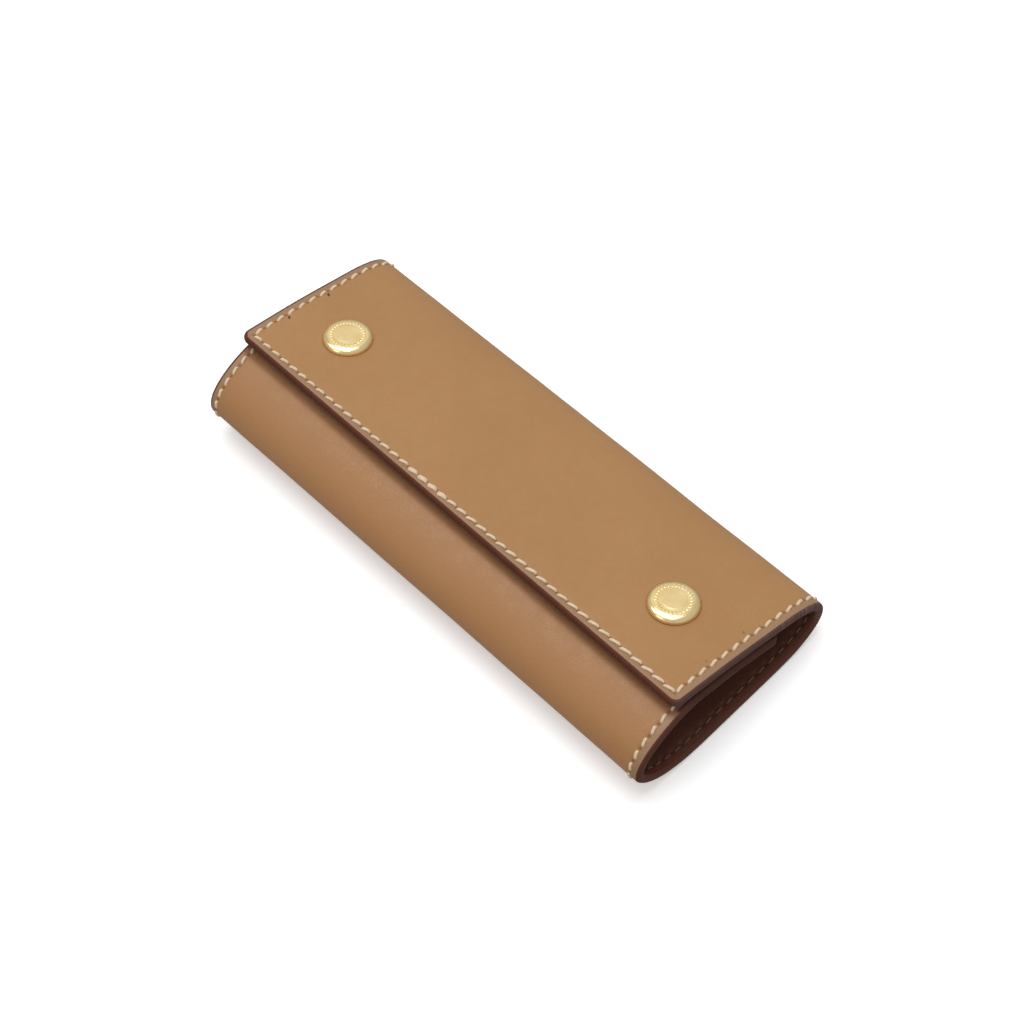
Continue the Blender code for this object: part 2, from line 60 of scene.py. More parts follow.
# The strip, as in the CAD
CASE_LENGTH = 121.0
SEAM = 1.075
WALL = 1.9
CORNER_RADIUS = 1.8
SPINE = (23.75, 6.3)
FRONT_FOLD = (-23.7, 7.8)
TOP_FLAP_LINE = [
    (-11.85, 20.0), (1.0, 17.0), (10.0, 14.5), (18.4, 11.9), (21.85, 10.0), (23.3, 8.3),
]
BACK_PANEL_LINE = [
    (23.1, 4.4), (20.8, 2.3), (16.0, 0.5), (10.3, 0.0), (7.0, 0.0), (-5.0, 0.0), (-8.2, 0.0),
    (-13.9, 0.5), (-19.0, 2.2), (-22.3, 4.9),
]
INNER_FLAP_LINE = [
    (-22.9, 10.6), (-20.6, 12.9), (-16.5, 14.95), (-11.3, 16.25), (-7.0, 16.3), (-3.0, 15.55),
    (1.9, 14.5), (9.3, 12.35), (12.8, 11.2),
]
CURVE_STEPS = 24
TANGENT_REACH = 0.8
FLAT_UNDER = 0.01

# How far askew the strip is folded, and where its rear and front halves part
FLAP_SKEW = 0.28
SKEW_REACH = 26.0
DRIFT = 0.3
SPLIT_Y = 1.0

# Marks of the awl on the flap: plan position, half size, turn and strength
AWL_MARKS = (
    ((-57.4, 9.92), (0.62, 0.32), -0.5, 0.95),
    ((-57.4, 20.0), (0.64, 0.33), -0.5, 0.95),
    ((57.3, 10.5), (0.34, 0.24), -0.5, 0.35),
    ((57.1, 20.0), (0.38, 0.26), -0.5, 0.5),
)

# The painted, rounded edge; a turn of 0 degrees is the outer face and 180 the inner one
EDGE_ROUND = 0.75
EDGE_POWER = 2.4
OUTER_TURNS = (0, 14, 27, 40, 53, 66, 79, 90)
INNER_TURNS = (180, 166, 153, 140, 127, 114, 104)
SEAM_TURN = 96
PAINT_FROM_TURN = 13
LEFT_EDGE = -59.0
END_REACH = 1.0

# The plan's mesh
RING_INSETS = (0.95, 1.15, 1.3, 1.45, 1.6, 1.75, 1.9, 2.05, 2.2, 2.4, 2.65, 3.0, 3.4)
SMALLEST_CORNER = 0.4
CORNER_STEPS = 10
BRIDGE_STEPS = 3
GRID_MARGIN = 4.2
GRID_STEP_X = 1.35
GRID_STEP_S = 1.0
RING_DENSITY = 4

# Slow unevenness of the leather: (height, length along x, length along s, offset) of each wave
WAVES = ((0.10, 22.0, 13.0, 3.1), (0.018, 6.0, 4.0, 9.7))
WAVE_INSET = 3.0
FLAT_REACH = 14.0

# Stitching: the seam, how far its stitches vary, the few sewn twice, and one thread's shape
STITCH_INSET = 2.1
FREE_EDGE_INSET = 1.78
LINING_SHIFT = 0.25
STITCH_PITCH = 2.7
STITCH_LENGTH = {"end": 1.92, "left": 1.95, "right": 2.6}
STITCH_SLANT = math.radians(14)
LINING_SLANT = math.radians(-3)
SLANT_SPREAD = 2.5
LENGTH_SPREAD = (0.95, 1.04)
RADIUS_SPREAD = (0.94, 1.07)
LOCK_FROM = -12.5
LOCK_TO = -1.5
LOCK_SHIFT = 0.28
THREAD_RADIUS = 0.29
LINING_THREAD_RADIUS = 0.18
THREAD_LIFT = 0.06
THREAD_DIVE = 0.42
THREAD_TAPER = 0.30
THREAD_SQUASH = (1.06, 0.9)
PLY_RELIEF = 0.07
PLY_TWIST = 6.0
THREAD_SIDES = 12
THREAD_STEPS = 10
GROUND_GAP = 0.02
GROOVE_DEPTH = 0.07
GROOVE_WIDTH = 0.42
PIT_DEPTH = 0.16
PIT_WIDTH = 0.5
PIT_REACH = 1.4

# Press studs; the caps sit a little left of them, the left cap nearer the flap's edge
STUD_SPACING = 89.6
STUD_SETBACK = 15.0
CAP_DRIFT = -0.4
CAP_TURN = 0.17
CAP_RADIUS = 4.95
CAP_HEIGHT = 1.45
CAP_CLEARANCE = 0.05
CAP_SEGMENTS = 96
CAP_TICKS = 28
TICK_RADIUS = 3.2
TICK_DEPTH = 0.115
TICK_HALF_SIZE = (0.42, 0.16, 0.09)
POST_RADIUS = 1.5
POST_BOTTOM = -1.4

# The cap's outer face as (radius, depth under its highest point), from its middle to its rim
CAP_FACE = (
    (0.0, 0.03), (1.2, 0.04), (1.75, 0.05), (1.92, 0.035), (2.05, 0.02), (2.18, 0.025),
    (2.32, 0.05), (2.5, 0.085), (2.9, 0.10), (3.3, 0.125), (3.65, 0.165), (3.95, 0.23),
    (4.2, 0.32), (4.4, 0.425), (4.57, 0.55), (4.70, 0.69), (4.80, 0.84), (4.87, 1.00),
    (4.92, 1.16), (CAP_RADIUS, 1.30), (4.93, 1.42),
)
CAP_RIM = 4.80

# How far the studs' flanges and the sockets sink into the leather
FLANGE_RADIUS = 4.0
FLANGE_PRESS = 0.14
FLANGE_EASE = 1.2
SOCKET_MOUTH = 3.0
SOCKET_RECESS = 0.7
SOCKET_EASE = 1.1

# Camera, in the frame's metres
LENS = 89.5
SENSOR = 36.0
CAMERA_AT = Vector((0.23315, -0.1236, 0.4052))
CAMERA_RIGHT = Vector((0.6726, 0.7210, -0.1668))
CAMERA_UP = Vector((-0.5590, 0.6427, 0.5238))

# Light: the surround's brightness above and below the horizon, and each lamp's name, place,
# target, size, watts and whether it lights the scene diffusely or only as a gleam
SURROUND_ABOVE = 0.62
SURROUND_BELOW = 0.42
SURROUND_FADE = (-0.3, 0.4)
LAMPS = (
    ("overhead", (-0.04, 0.10, 0.85), (0.0, 0.0, 0.0), (0.6, 0.6), 3.85, True),
    ("front", (-0.05, -0.56, 0.52), (0.0, 0.0, 0.01), (0.30, 0.34), 0.45, False),
    ("side", (-0.385, -0.20, 0.67), (0.0, 0.0, 0.01), (0.25, 0.25), 1.3, False),
    ("back", (-0.46, 0.54, 0.64), (0.0, 0.0, 0.01), (0.9, 0.9), 0.7, True),
)
FLOOR_SIZE = 2.0
FLOOR_GLOW = 0.3

# Colours, as linear RGB; a pair is the darkest and lightest of a patchy colour
TAN = ((0.362, 0.182, 0.063), (0.384, 0.196, 0.071))
TAN_MOTTLE = (0.335, 0.160, 0.054)
TAN_PORE = (0.245, 0.110, 0.038)
# Redder leather over the front fold
TAN_FRONT_TINT = (0.362, 0.160, 0.054)
# Painted light: the leather is lightened on the front fold's lower bulge
TAN_PAINTED_LIGHT = (0.440, 0.198, 0.070)
TAN_RIM = (0.300, 0.172, 0.090)
TAN_SHADED = (0.150, 0.045, 0.012)
# Painted shade in the gap under the top flap
TAN_GAP_SHADE = (0.074, 0.030, 0.020)
# Painted shade in the needle holes
NEEDLE_HOLE_SHADE = (0.110, 0.045, 0.018)
AWL_MARK = (0.050, 0.018, 0.008)
LINING = ((0.106, 0.036, 0.020), (0.128, 0.045, 0.026))
PAINT = ((0.090, 0.025, 0.011), (0.112, 0.033, 0.016))
# Painted reflection on the edge paint at the case's ends round the spine
PAINT_REFLECTION_AT_SPINE = (0.104, 0.054, 0.046)
# Painted shade on the inner flap's edge under the top flap
PAINT_SHADE_UNDER_FLAP = (0.042, 0.017, 0.011)
# Brush streaks in the edge paint, painted pale as their sheen
PAINT_STREAK_SHEEN = (0.255, 0.185, 0.165)
THREAD = ((0.58, 0.42, 0.27), (0.80, 0.65, 0.47))
# The same thread on the lining side, darkened as painted shade
LINING_THREAD = ((0.120, 0.058, 0.036), (0.190, 0.100, 0.066))
GOLD = ((0.84, 0.62, 0.285), (0.91, 0.72, 0.38))
STEEL = ((0.50, 0.49, 0.47), (0.64, 0.63, 0.60))
FLOOR = ((0.90, 0.90, 0.90), (0.92, 0.92, 0.92))


# Outline


def smooth_line(points):
    """A smooth curve through the points, as a dense array of (y, z) that never dips below 0."""
    line = [Vector(p) for p in points]
    line = [2 * line[0] - line[1], *line, 2 * line[-1] - line[-2]]
    dense = []
    for a, b, c, d in zip(line, line[1:], line[2:], line[3:]):
        t1 = (b - a).length ** 0.5
        t2 = t1 + (c - b).length ** 0.5
        t3 = t2 + (d - c).length ** 0.5
        for step in range(CURVE_STEPS):
            t = t1 + (t2 - t1) * step / CURVE_STEPS
            ab = a.lerp(b, t / t1)
            bc = b.lerp(c, (t - t1) / (t2 - t1))
            cd = c.lerp(d, (t - t2) / (t3 - t2))
            abc = ab.lerp(bc, t / t2)
            bcd = bc.lerp(cd, (t - t1) / (t3 - t1))
            dense.append(abc.lerp(bcd, (t - t1) / (t2 - t1)))
    dense.append(line[-2])
    return np.array([(p.x, max(p.y, 0.0)) for p in dense])


OUTLINE = smooth_line([*TOP_FLAP_LINE, SPINE, *BACK_PANEL_LINE, FRONT_FOLD, *INNER_FLAP_LINE])

# The distance along the strip of each outline point, and of the inner flap's edge
STEPS = np.linalg.norm(np.diff(OUTLINE, axis=0), axis=1)
DISTANCES = np.concatenate([[0.0], np.cumsum(STEPS)])
END = float(DISTANCES[-1])


def outline_at(s):
    """(y, z) at distances s, carried straight on past either end."""
    s = np.asarray(s, float)
    inside = np.clip(s, 0.0, END)
    at = np.stack([np.interp(inside, DISTANCES, OUTLINE[:, k]) for k in (0, 1)], axis=-1)
    first = (OUTLINE[1] - OUTLINE[0]) / STEPS[0]
    last = (OUTLINE[-1] - OUTLINE[-2]) / STEPS[-1]
    return at + np.minimum(s, 0.0)[..., None] * first + np.maximum(s - END, 0.0)[..., None] * last


def on_strip(points):
    """Places plan points (x, s, depth under the outer face), and returns metres.

    The strip is folded a little askew: the top flap's right end comes further forward than its
    left, and what is past the spine lies a little to the right.
    """
    points = np.asarray(points, float)
    x, s, depth = points[..., 0], points[..., 1], points[..., 2]
    drift = DRIFT * np.clip((s - SPINE_AT) / (FOLD_AT - SPINE_AT), 0.0, 1.0)
    s = s - FLAP_SKEW * x / (CASE_LENGTH / 2) * np.clip(1 - s / SKEW_REACH, 0.0, 1.0)
    here = outline_at(s)
    tangent = outline_at(s + TANGENT_REACH) - outline_at(s - TANGENT_REACH)
    tangent /= np.linalg.norm(tangent, axis=-1, keepdims=True)
    y = here[..., 0] + tangent[..., 1] * depth
    z = here[..., 1] - tangent[..., 0] * depth
    return np.stack([x + drift, y, z], axis=-1) * MM


def frame_on_strip(s):
    """The outer face's point (y, z) and outward normal at a distance s."""
    at = outline_at(s)
    tangent = outline_at(s + TANGENT_REACH) - outline_at(s - TANGENT_REACH)
    tangent /= np.linalg.norm(tangent)
    return Vector(at), Vector((-tangent[1], tangent[0]))


def distance_where(test):
    return float(DISTANCES[next(i for i, p in enumerate(OUTLINE) if test(p))])


# Where the halves part, the spine and front fold turn, and the top flap starts to cover the inner
SPLIT = distance_where(lambda p: p[1] < FLAT_UNDER and p[0] < SPLIT_Y)
SPINE_AT = float(DISTANCES[OUTLINE[:, 0].argmax()])
FOLD_AT = float(DISTANCES[OUTLINE[:, 0].argmin()])
COVERED_FROM = float(DISTANCES[(DISTANCES > FOLD_AT) & (OUTLINE[:, 0] > TOP_FLAP_LINE[0][0])][0])


# Materials


class Graph:
    """A few shorthands for building one material's nodes."""

    def __init__(self, name):
        self.material = bpy.data.materials.new(name)
        self.material.use_nodes = True
        self.tree = self.material.node_tree
        self.shader = self.tree.nodes["Principled BSDF"]

    def add(self, kind, **settings):
        node = self.tree.nodes.new(kind)
        for key, value in settings.items():
            setattr(node, key, value)
        return node

    def feed(self, node, **values):
        """Sets or links inputs, named with underscores for spaces."""
        for key, value in values.items():
            socket = node.inputs[key.replace("_", " ")]
            if isinstance(value, bpy.types.NodeSocket):
                self.tree.links.new(value, socket)
            else:
                socket.default_value = value
        return node

    def maths(self, operation, a, b):
        node = self.add("ShaderNodeMath", operation=operation)
        for socket, value in zip(node.inputs, (a, b)):
            if isinstance(value, bpy.types.NodeSocket):
                self.tree.links.new(value, socket)
            else:
                socket.default_value = value
        return node.outputs[0]

    def plan(self, stretch=(1.0, 1.0)):
        """The strip's plan coordinates in millimetres."""
        uv = self.add("ShaderNodeUVMap", uv_map="plan")
        scale = (stretch[0] / UV_PER_MM, stretch[1] / UV_PER_MM, 1.0)
        mapping = self.feed(self.add("ShaderNodeMapping"), Scale=scale)
        self.tree.links.new(uv.outputs[0], mapping.inputs[0])
        return mapping.outputs[0]

    def along_strip(self):
        """The distance from the top flap's front edge, in millimetres."""
        split = self.feed(self.add("ShaderNodeSeparateXYZ"), Vector=self.plan())
        return split.outputs["Y"]

    def object_mm(self):
        coords = self.add("ShaderNodeTexCoord")
        mapping = self.feed(self.add("ShaderNodeMapping"), Scale=(1 / MM, 1 / MM, 1 / MM))
        self.tree.links.new(coords.outputs["Object"], mapping.inputs[0])
        return mapping.outputs[0]

    def noise(self, where, size, detail=2.0, roughness=0.5):
        """Noise from 0 to 1 whose features are about size millimetres across."""
        node = self.add("ShaderNodeTexNoise")
        self.feed(node, Vector=where, Scale=1.0 / size, Detail=detail, Roughness=roughness)
        return node.outputs["Fac"]

    def cells(self, where, size, feature="F1"):
        """Distances in a pattern of cells about size millimetres across."""
        node = self.add("ShaderNodeTexVoronoi", feature=feature)
        self.feed(node, Vector=where, Scale=1.0 / size)
        return node.outputs["Distance"]

    def remap(self, value, low, high, to_low=0.0, to_high=1.0):
        """Eases from one output to the other as the value goes from low to high."""
        node = self.add("ShaderNodeMapRange", interpolation_type="SMOOTHSTEP")
        self.feed(node, Value=value, From_Min=low, From_Max=high, To_Min=to_low, To_Max=to_high)
        return node.outputs["Result"]

    def band(self, along, rise, fall, height=1.0):
        """Rises from 0 to a height over one stretch of the strip, and falls back over another."""
        risen = self.remap(along, *rise, 0.0, height)
        return self.maths("MULTIPLY", risen, self.remap(along, *fall, 1.0, 0.0))

    def spot(self, where, centre, half_size, turn):
        """1 inside a small oblong mark at a plan point, falling to 0 at its rim."""
        place = self.add("ShaderNodeMapping", vector_type="TEXTURE")
        self.feed(place, Vector=where, Location=(*centre, 0.0), Rotation=(0.0, 0.0, turn),
                  Scale=(*half_size, 1.0))
        length = self.add("ShaderNodeVectorMath", operation="LENGTH")
        self.feed(length, Vector=place.outputs[0])
        return self.remap(length.outputs["Value"], 0.55, 1.0, 1.0, 0.0)

    def mix(self, factor, a, b):
        """Blends two colours, each a tuple or a socket."""
        node = self.add("ShaderNodeMix", data_type="RGBA")
        for socket, value in ((node.inputs[0], factor), (node.inputs[6], a), (node.inputs[7], b)):
            if isinstance(value, bpy.types.NodeSocket):
                self.tree.links.new(value, socket)
            else:
                socket.default_value = (*value, 1.0) if isinstance(value, tuple) else value
        return node.outputs[2]

    def attribute(self, name):
        return self.add("ShaderNodeAttribute", attribute_name=name).outputs["Fac"]

    def bump(self, height, distance_mm, strength, normal=None):
        node = self.add("ShaderNodeBump")
        self.feed(node, Height=height, Distance=distance_mm * MM, Strength=strength)
        if normal is not None:
            self.feed(node, Normal=normal)
        return node.outputs["Normal"]

    def finish(self, **values):
        self.feed(self.shader, **values)
        return self.material


def tan_colour(g, plan, mottle, pit, shaded):
    """The outer leather's colour: patchy, redder at the front fold, darker at rims, with painted
    light and shade.
    """
    patches = g.noise(plan, 26.0, detail=3.0)
    pores = g.cells(plan, 0.75)
    along = g.along_strip()
    colour = g.mix(g.remap(patches, 0.3, 0.7), *TAN)
    colour = g.mix(g.remap(mottle, 0.35, 0.7, 0.0, 0.22), colour, TAN_MOTTLE)
    colour = g.mix(g.remap(pores, 0.0, 0.16, 0.20, 0.0), colour, TAN_PORE)
    # Redder towards the front fold, from a little past the split onwards
    front_fold_reach = g.remap(along, SPLIT + 8.0, SPLIT + 22.0)
    colour = g.mix(g.maths("MULTIPLY", front_fold_reach, 0.55), colour, TAN_FRONT_TINT)
    # Painted light: the lower bulge of the front fold is lightened, standing in for light from
    # below
    painted_light = g.maths("MULTIPLY", front_fold_reach, g.remap(along, FOLD_AT, FOLD_AT + 5.0, 0.85, 0.0))
    colour = g.mix(painted_light, colour, TAN_PAINTED_LIGHT)
    inset = g.attribute("inset")
    colour = g.mix(g.remap(inset, 1.3, 2.0, 0.95, 0.0), colour, TAN_RIM)
    colour = g.mix(shaded, colour, TAN_SHADED)
    # Painted shade: the inner flap's rim is darkened where it lies in the gap under the top flap
    covered = g.remap(along, COVERED_FROM - 0.5, COVERED_FROM + 0.5)
    gap_shade = g.maths("MULTIPLY", g.remap(inset, 0.9, 1.5, 1.0, 0.0), covered)
    colour = g.mix(gap_shade, colour, TAN_GAP_SHADE)
    # Painted shade in and round the needle holes
    colour = g.mix(g.remap(pit, 0.35, 0.95, 0.0, 0.6), colour, NEEDLE_HOLE_SHADE)
    for centre, half_size, turn, strength in AWL_MARKS:
        mark = g.maths("MULTIPLY", g.spot(plan, centre, half_size, turn), strength)
        colour = g.mix(mark, colour, AWL_MARK)
    return colour


def tan_roughness(g, mottle, pit, shaded):
    """Satin, polished just in front of the top flap's edge and dull right under it."""
    polish_rise = (COVERED_FROM - 7.5, COVERED_FROM - 3.5)
    polish_fall = (COVERED_FROM - 2.4, COVERED_FROM - 1.2)
    polished = g.band(g.along_strip(), polish_rise, polish_fall, 0.10)
    rough = g.maths("ADD", g.remap(mottle, 0.3, 0.7, 0.44, 0.54), g.remap(pit, 0.2, 1.0, 0.0, 0.2))
    return g.maths("ADD", g.maths("SUBTRACT", rough, polished), g.maths("MULTIPLY", shaded, 0.5))


def tan_leather():
    g = Graph("tan_leather")
    plan = g.plan()
    mottle = g.noise(plan, 3.2, detail=4.0, roughness=0.6)
    pit = g.attribute("pit")
    shade_rise = (COVERED_FROM - 1.9, COVERED_FROM - 0.6)
    shade_fall = (COVERED_FROM, COVERED_FROM + 2.0)
    shaded = g.band(g.along_strip(), shade_rise, shade_fall, 0.5)
    grain = g.cells(plan, 0.42, "DISTANCE_TO_EDGE")
    fine = g.bump(g.remap(grain, 0.0, 0.16), 0.02, 0.75)
    rolling = g.bump(g.noise(plan, 1.6, detail=5.0, roughness=0.62), 0.10, 0.42, fine)
    return g.finish(Base_Color=tan_colour(g, plan, mottle, pit, shaded),
                    Roughness=tan_roughness(g, mottle, pit, shaded), Normal=rolling,
                    Specular_IOR_Level=0.36, Sheen_Weight=0.06, Sheen_Roughness=0.5)


def dark_lining():
    g = Graph("dark_lining")
    plan = g.plan()
    patches = g.noise(plan, 14.0, detail=3.0)
    grain = g.cells(plan, 0.5, "DISTANCE_TO_EDGE")
    colour = g.mix(g.remap(patches, 0.3, 0.7), *LINING)
    rough = g.remap(patches, 0.3, 0.7, 0.52, 0.64)
    fine = g.bump(g.remap(grain, 0.0, 0.18), 0.03, 0.6)
    rolling = g.bump(g.noise(plan, 2.2, detail=4.0, roughness=0.6), 0.10, 0.4, fine)
    return g.finish(Base_Color=colour, Roughness=rough, Normal=rolling, Specular_IOR_Level=0.3)


def edge_paint():
    """Dark paint, with a painted reflection and sheen-pale streaks at the ends round the spine,
    painted shade under the flap.
    """
    g = Graph("edge_paint")
    plan = g.plan()
    patches = g.noise(plan, 1.8, detail=4.0, roughness=0.65)
    streaks = g.noise(g.plan((0.04, 1.0)), 0.5, detail=4.0, roughness=0.7)
    ends = g.remap(g.attribute("end"), 0.3, 0.9)
    along = g.along_strip()
    colour = g.mix(g.remap(patches, 0.3, 0.75), *PAINT)
    # Painted reflection: the paint at the case's ends near the spine is paler and greyer, standing
    # in for the sheen it reflects
    upper = g.maths("MULTIPLY", ends, g.remap(along, SPINE_AT - 2.0, SPINE_AT + 8.0, 1.0, 0.25))
    colour = g.mix(g.maths("MULTIPLY", upper, 0.7), colour, PAINT_REFLECTION_AT_SPINE)
    # Painted shade: the inner flap's edge darkens where it lies under the top flap
    shade_under_flap = g.remap(along, COVERED_FROM + 1.0, COVERED_FROM + 5.0, 0.0, 0.6)
    colour = g.mix(shade_under_flap, colour, PAINT_SHADE_UNDER_FLAP)
    nearing = g.remap(along, SPINE_AT - 22.0, SPINE_AT - 6.0, 0.12, 1.0)
    turned = g.maths("MULTIPLY", nearing, g.remap(along, SPINE_AT + 1.0, SPINE_AT + 6.0, 1.0, 0.0))
    # The paint's real brush streaks near the spine, painted pale as their highlight
    streak_patches = g.remap(patches, 0.3, 0.6, 0.3, 1.0)
    streak_sheen = g.maths("MULTIPLY", g.remap(streaks, 0.42, 0.70, 0.0, 0.7), streak_patches)
    streak_sheen = g.maths("MULTIPLY", streak_sheen, turned)
    colour = g.mix(g.maths("MULTIPLY", ends, streak_sheen), colour, PAINT_STREAK_SHEEN)
    rough = g.remap(patches, 0.3, 0.7, 0.48, 0.62)
    bumps = g.bump(g.noise(plan, 0.9, detail=3.0), 0.06, 0.45)
    return g.finish(Base_Color=colour, Roughness=rough, Normal=bumps, Specular_IOR_Level=0.14)


def waxed_thread(name, dark, light):
    g = Graph(name)
    plan = g.plan()
    fibres = g.noise(plan, 0.14, detail=3.0, roughness=0.7)
    dirt = g.noise(plan, 5.0, detail=2.0)
    colour = g.mix(g.remap(fibres, 0.25, 0.75), dark, light)
    colour = g.mix(g.remap(dirt, 0.35, 0.7, 0.0, 0.25), colour, dark)
    return g.finish(Base_Color=colour, Roughness=0.62, Normal=g.bump(fibres, 0.05, 0.6),
                    Specular_IOR_Level=0.35, Sheen_Weight=0.25, Sheen_Roughness=0.4)


def polished_gold():
    g = Graph("polished_gold")
    where = g.object_mm()
    smudge = g.noise(where, 3.5, detail=3.0, roughness=0.6)
    scuffs = g.noise(where, 0.35, detail=4.0, roughness=0.7)
    colour = g.mix(g.remap(smudge, 0.3, 0.7), *GOLD)
    rough = g.remap(smudge, 0.3, 0.75, 0.18, 0.23)
    bumps = g.bump(scuffs, 0.012, 0.35)
    return g.finish(Base_Color=colour, Metallic=1.0, Roughness=rough, Normal=bumps)


def spring_steel():
    g = Graph("spring_steel")
    where = g.object_mm()
    smudge = g.noise(where, 2.0, detail=3.0, roughness=0.6)
    brushed = g.noise(where, 0.2, detail=3.0)
    colour = g.mix(g.remap(smudge, 0.3, 0.7), *STEEL)
    rough = g.remap(smudge, 0.3, 0.7, 0.22, 0.34)
    bumps = g.bump(brushed, 0.01, 0.3)
    return g.finish(Base_Color=colour, Metallic=1.0, Roughness=rough, Normal=bumps)


def studio_floor():
    g = Graph("studio_floor")
    tone = g.remap(g.noise(g.object_mm(), 180.0), 0.3, 0.7)
    return g.finish(Base_Color=g.mix(tone, *FLOOR), Roughness=0.75, Specular_IOR_Level=0.2,
                    Emission_Color=(1.0, 1.0, 1.0, 1.0), Emission_Strength=FLOOR_GLOW)


LOOKS = {
    "tan": tan_leather(),
    "lining": dark_lining(),
    "edge": edge_paint(),
    "thread": waxed_thread("waxed_thread", *THREAD),
    # The lining-side stitches: the same thread, darkened as painted shade
    "inner_thread": waxed_thread("lining_thread", *LINING_THREAD),
    "gold": polished_gold(),
    "steel": spring_steel(),
    "floor": studio_floor(),
}


# Meshes


def new_object(name, points, faces, looks, face_looks=None):
    mesh = bpy.data.meshes.new(name)
    mesh.from_pydata([tuple(p) for p in points], [], faces)
    for look in looks:
        mesh.materials.append(LOOKS[look])
    if face_looks is not None:
        mesh.polygons.foreach_set("material_index", face_looks)
    mesh.shade_smooth()
    made = bpy.data.objects.new(name, mesh)
    bpy.context.scene.collection.objects.link(made)
    return made


def object_from_bmesh(bm, name, look):
    mesh = bpy.data.meshes.new(name)
    bm.to_mesh(mesh)
    bm.free()
    mesh.materials.append(LOOKS[look])
    made = bpy.data.objects.new(name, mesh)
    bpy.context.scene.collection.objects.link(made)
    return made


def tidy_normals(obj, sharp_degrees=50):
    bm = bmesh.new()
    bm.from_mesh(obj.data)
    bmesh.ops.recalc_face_normals(bm, faces=bm.faces)
    bm.to_mesh(obj.data)
    bm.free()
    obj.data.set_sharp_from_angle(angle=math.radians(sharp_degrees))


def write_plan(obj, plan):
    """A UV map of plan positions, in tenths of a metre."""
    layer = obj.data.uv_layers.new(name="plan")
    corners = np.zeros(len(obj.data.loops), int)
    obj.data.loops.foreach_get("vertex_index", corners)
    layer.data.foreach_set("uv", (np.asarray(plan)[corners] * UV_PER_MM).astype(np.float32).ravel())


def write_attribute(obj, name, values):
    layer = obj.data.attributes.new(name, "FLOAT", "POINT")
    layer.data.foreach_set("value", np.asarray(values, np.float32))


# Stitch places


def seam_steps(start, end):
    count = round(abs(end - start) / STITCH_PITCH)
    return [start + (end - start) * i / count for i in range(count + 1)]


def stitch_plan():
    """Every stitch as (x, s, direction) of its middle, and every needle hole as (x, s)."""
    side = CASE_LENGTH / 2 - STITCH_INSET
    along_x = seam_steps(-side, side)
    along_s = seam_steps(FREE_EDGE_INSET, END - FREE_EDGE_INSET)
    stitches, holes = [], []
    for s in (FREE_EDGE_INSET, END - FREE_EDGE_INSET):
        stitches += [((a + b) / 2, s, 0.0) for a, b in zip(along_x, along_x[1:])]
        holes += [(x, s) for x in along_x]
    for x in (-side, side):
        stitches += [(x, (a + b) / 2, math.pi / 2) for a, b in zip(along_s, along_s[1:])]
        holes += [(x, s) for s in along_s]
    return stitches, holes


STITCHES, HOLES = stitch_plan()
HOLE_TREE = kdtree.KDTree(len(HOLES))
for index, hole in enumerate(HOLES):
    HOLE_TREE.insert((*hole, 0.0), index)
HOLE_TREE.balance()


def seam_groove(x, s):
    """1 on a line of stitches, falling to 0 beside it."""
    end_line = CASE_LENGTH / 2 - STITCH_INSET - abs(x)
    away = min(abs(end_line), abs(s - FREE_EDGE_INSET), abs(END - s - FREE_EDGE_INSET))
    return math.exp(-(away / GROOVE_WIDTH) ** 2)


def stud_on_front():
    """The distance along the strip where the studs' axis meets the inner flap."""
    at, outward = frame_on_strip(STUD_SETBACK)
    along = np.array([outward.y, -outward.x])
    aside = np.abs((OUTLINE - np.array(at)) @ along)
    aside[DISTANCES < FOLD_AT] = np.inf
    return float(DISTANCES[aside.argmin()])


STUD_ON_FRONT = stud_on_front()


# Each half's round hollow: radius, easing beyond it, depth, distance along the strip, drift in x
HOLLOWS = {
    "front": (FLANGE_RADIUS, FLANGE_EASE, FLANGE_PRESS, STUD_ON_FRONT, DRIFT),
    "rear": (SOCKET_MOUTH, SOCKET_EASE, SOCKET_RECESS, STUD_SETBACK, 0.0),
}


def press_depth(x, s, half, outer):
    """How deep the studs' flanges sink into the inner flap, and the sockets into the lining."""
    if outer != (half == "front"):
        return 0.0
    radius, ease, sunk, middle, drift = HOLLOWS[half]
    away = math.hypot(abs(x + drift) - STUD_SPACING / 2, s - middle)
    return sunk * (1 - min(max((away - radius) / ease, 0.0), 1.0))


def pit_at(x, s):
    """1 at a needle hole, falling to 0 round it."""
    away = HOLE_TREE.find((x, s, 0.0))[2]
    return math.exp(-(away / PIT_WIDTH) ** 2)


# Leather and lining


def split_evenly(start, end, step):
    count = max(1, round(abs(end - start) / step))
    return [start + (end - start) * i / count for i in range(count + 1)]


def denser(values):
    dense = []
    for a, b in zip(values, values[1:]):
        dense += [a + (b - a) * k / RING_DENSITY for k in range(RING_DENSITY)]
    return [*dense, values[-1]]


